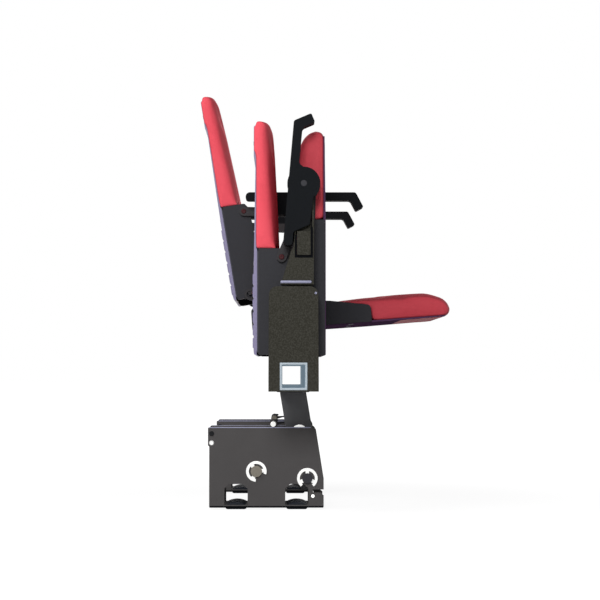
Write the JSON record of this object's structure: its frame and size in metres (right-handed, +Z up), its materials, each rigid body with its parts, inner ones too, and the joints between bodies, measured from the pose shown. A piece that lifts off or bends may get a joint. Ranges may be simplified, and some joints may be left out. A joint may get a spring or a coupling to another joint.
{
  "type": "folding stadium seat unit",
  "caption": "Unit of folding upholstered stadium seats with armrests on a square beam, which folds forward on base boxes bolted to the deck.",
  "frame": {"origin": "on the deck, in the middle of the rectangle of fixing bolts", "axes": "+Z up, X along the row with the folded seat on the -X side, the sitter looks along -Y"},
  "size_m": [1.04, 0.5319, 0.8538],
  "materials": {
    "base_paint": "fine textured powder coat",
    "shaft_steel": "turned",
    "pin_steel": "turned",
    "zinc": "bright zinc plate",
    "rubber": "matt",
    "black_plastic": "fine grain",
    "beam_paint": "silver powder coat",
    "leg_paint": "powder coat",
    "post_paint": "powder coat",
    "textured_cover": "coarse grain",
    "link_paint": "powder coat",
    "panel_plastic": "satin",
    "plywood": "raw",
    "upholstery": "soft sheen"
  },
  "bodies": {
    "base": {"housing_0": "base_paint", "housing_1": "base_paint", "pivot_shaft_0": "shaft_steel", "pivot_shaft_1": "shaft_steel", "stop_shaft_0": "shaft_steel", "stop_shaft_1": "shaft_steel", "snap_rings_0": "zinc", "snap_rings_1": "zinc", "feet_0": "rubber", "feet_1": "rubber", "latch_pin_0": "zinc", "latch_pin_1": "zinc"},
    "row": {"beam_tube": "beam_paint", "leg_0": "leg_paint", "leg_1": "leg_paint", "leg_core_0": "leg_paint", "leg_core_1": "leg_paint", "upright_0": "post_paint", "upright_1": "post_paint", "upright_2": "post_paint", "bracket_0": "textured_cover", "bracket_1": "textured_cover", "bracket_2": "textured_cover", "stanchion_0": "textured_cover", "stanchion_1": "textured_cover", "stanchion_2": "textured_cover", "arm_pin_0": "pin_steel", "arm_pin_1": "pin_steel", "arm_pin_2": "pin_steel", "hangers_0": "link_paint", "hangers_1": "link_paint"},
    "latch_0": {"latch_lever_0": "black_plastic"},
    "latch_1": {"latch_lever_1": "black_plastic"},
    "arm_0": {"armrest_0": "black_plastic"},
    "arm_1": {"armrest_1": "black_plastic"},
    "arm_2": {"armrest_2": "black_plastic"},
    "pan_0": {"pan_shell_0": "panel_plastic", "pan_board_0": "plywood", "pan_hinges_0": "shaft_steel", "pan_covers_0": "panel_plastic", "pan_cushion_0": "upholstery"},
    "upper_link_0": {"upper_links_0": "link_paint"},
    "back_0": {"back_shell_0": "panel_plastic", "back_board_0": "plywood", "back_lugs_0": "link_paint", "back_covers_0": "panel_plastic", "back_cushion_0": "upholstery"},
    "lower_link_0": {"lower_links_0": "link_paint"},
    "pan_1": {"pan_shell_1": "panel_plastic", "pan_board_1": "plywood", "pan_hinges_1": "shaft_steel", "pan_covers_1": "panel_plastic", "pan_cushion_1": "upholstery"},
    "upper_link_1": {"upper_links_1": "link_paint"},
    "back_1": {"back_shell_1": "panel_plastic", "back_board_1": "plywood", "back_lugs_1": "link_paint", "back_covers_1": "panel_plastic", "back_cushion_1": "upholstery"},
    "lower_link_1": {"lower_links_1": "link_paint"}
  },
  "joints": [
    {"name": "row_fold", "type": "hinge", "parent": "base", "child": "row", "pos_m": [0, -0.0793, 0.06], "axis": [1, 0, 0], "range_deg": [0, 90]},
    {"name": "latch_0_press", "type": "hinge", "parent": "base", "child": "latch_0", "pos_m": [-0.25, -0.013, 0.165], "axis": [1, 0, 0], "range_deg": [0, 35], "stiffness_Nm_per_rad": 0.3, "springref_deg": -28.65},
    {"name": "latch_1_press", "type": "hinge", "parent": "base", "child": "latch_1", "pos_m": [0.25, -0.013, 0.165], "axis": [1, 0, 0], "range_deg": [0, 35], "stiffness_Nm_per_rad": 0.3, "springref_deg": -28.65},
    {"name": "arm_0_lift", "type": "hinge", "parent": "row", "child": "arm_0", "pos_m": [-0.5, -0.0705, 0.6145], "axis": [-1, 0, 0], "range_deg": [-85, 0]},
    {"name": "arm_1_lift", "type": "hinge", "parent": "row", "child": "arm_1", "pos_m": [0, -0.0705, 0.6145], "axis": [-1, 0, 0], "range_deg": [0, 85]},
    {"name": "arm_2_lift", "type": "hinge", "parent": "row", "child": "arm_2", "pos_m": [0.5, -0.0705, 0.6145], "axis": [-1, 0, 0], "range_deg": [0, 85]},
    {"name": "seat_0_tip", "type": "hinge", "parent": "row", "child": "pan_0", "pos_m": [-0.25, -0.07, 0.403], "axis": [-1, 0, 0], "range_deg": [-86, 0]},
    {"name": "seat_0_upper_link", "type": "hinge", "parent": "row", "child": "upper_link_0", "pos_m": [-0.25, -0.0815, 0.603], "axis": [-1, 0, 0], "range_deg": [-68.52, 0]},
    {"name": "seat_0_back", "type": "hinge", "parent": "upper_link_0", "child": "back_0", "pos_m": [-0.25, -0.02953, 0.48057], "axis": [-1, 0, 0], "range_deg": [0, 78.02]},
    {"name": "seat_0_lower_link", "type": "hinge", "parent": "row", "child": "lower_link_0", "pos_m": [-0.25, -0.07, 0.403], "axis": [-1, 0, 0], "range_deg": [-75.4, 0]},
    {"name": "seat_1_tip", "type": "hinge", "parent": "row", "child": "pan_1", "pos_m": [0.25, -0.07, 0.403], "axis": [-1, 0, 0], "range_deg": [0, 86]},
    {"name": "seat_1_upper_link", "type": "hinge", "parent": "row", "child": "upper_link_1", "pos_m": [0.25, -0.0815, 0.603], "axis": [-1, 0, 0], "range_deg": [0, 68.52]},
    {"name": "seat_1_back", "type": "hinge", "parent": "upper_link_1", "child": "back_1", "pos_m": [0.25, 0.05145, 0.60648], "axis": [-1, 0, 0], "range_deg": [-78.02, 0]},
    {"name": "seat_1_lower_link", "type": "hinge", "parent": "row", "child": "lower_link_1", "pos_m": [0.25, -0.07, 0.403], "axis": [-1, 0, 0], "range_deg": [0, 75.4]}
  ],
  "couplings": [
    {"joint": "seat_0_upper_link", "follows": "seat_0_tip", "ratio": 0.79651},
    {"joint": "seat_0_back", "follows": "seat_0_tip", "ratio": -0.90698},
    {"joint": "seat_0_lower_link", "follows": "seat_0_tip", "ratio": 0.8765},
    {"joint": "seat_1_upper_link", "follows": "seat_1_tip", "ratio": 0.79651},
    {"joint": "seat_1_back", "follows": "seat_1_tip", "ratio": -0.90698},
    {"joint": "seat_1_lower_link", "follows": "seat_1_tip", "ratio": 0.8765}
  ]
}
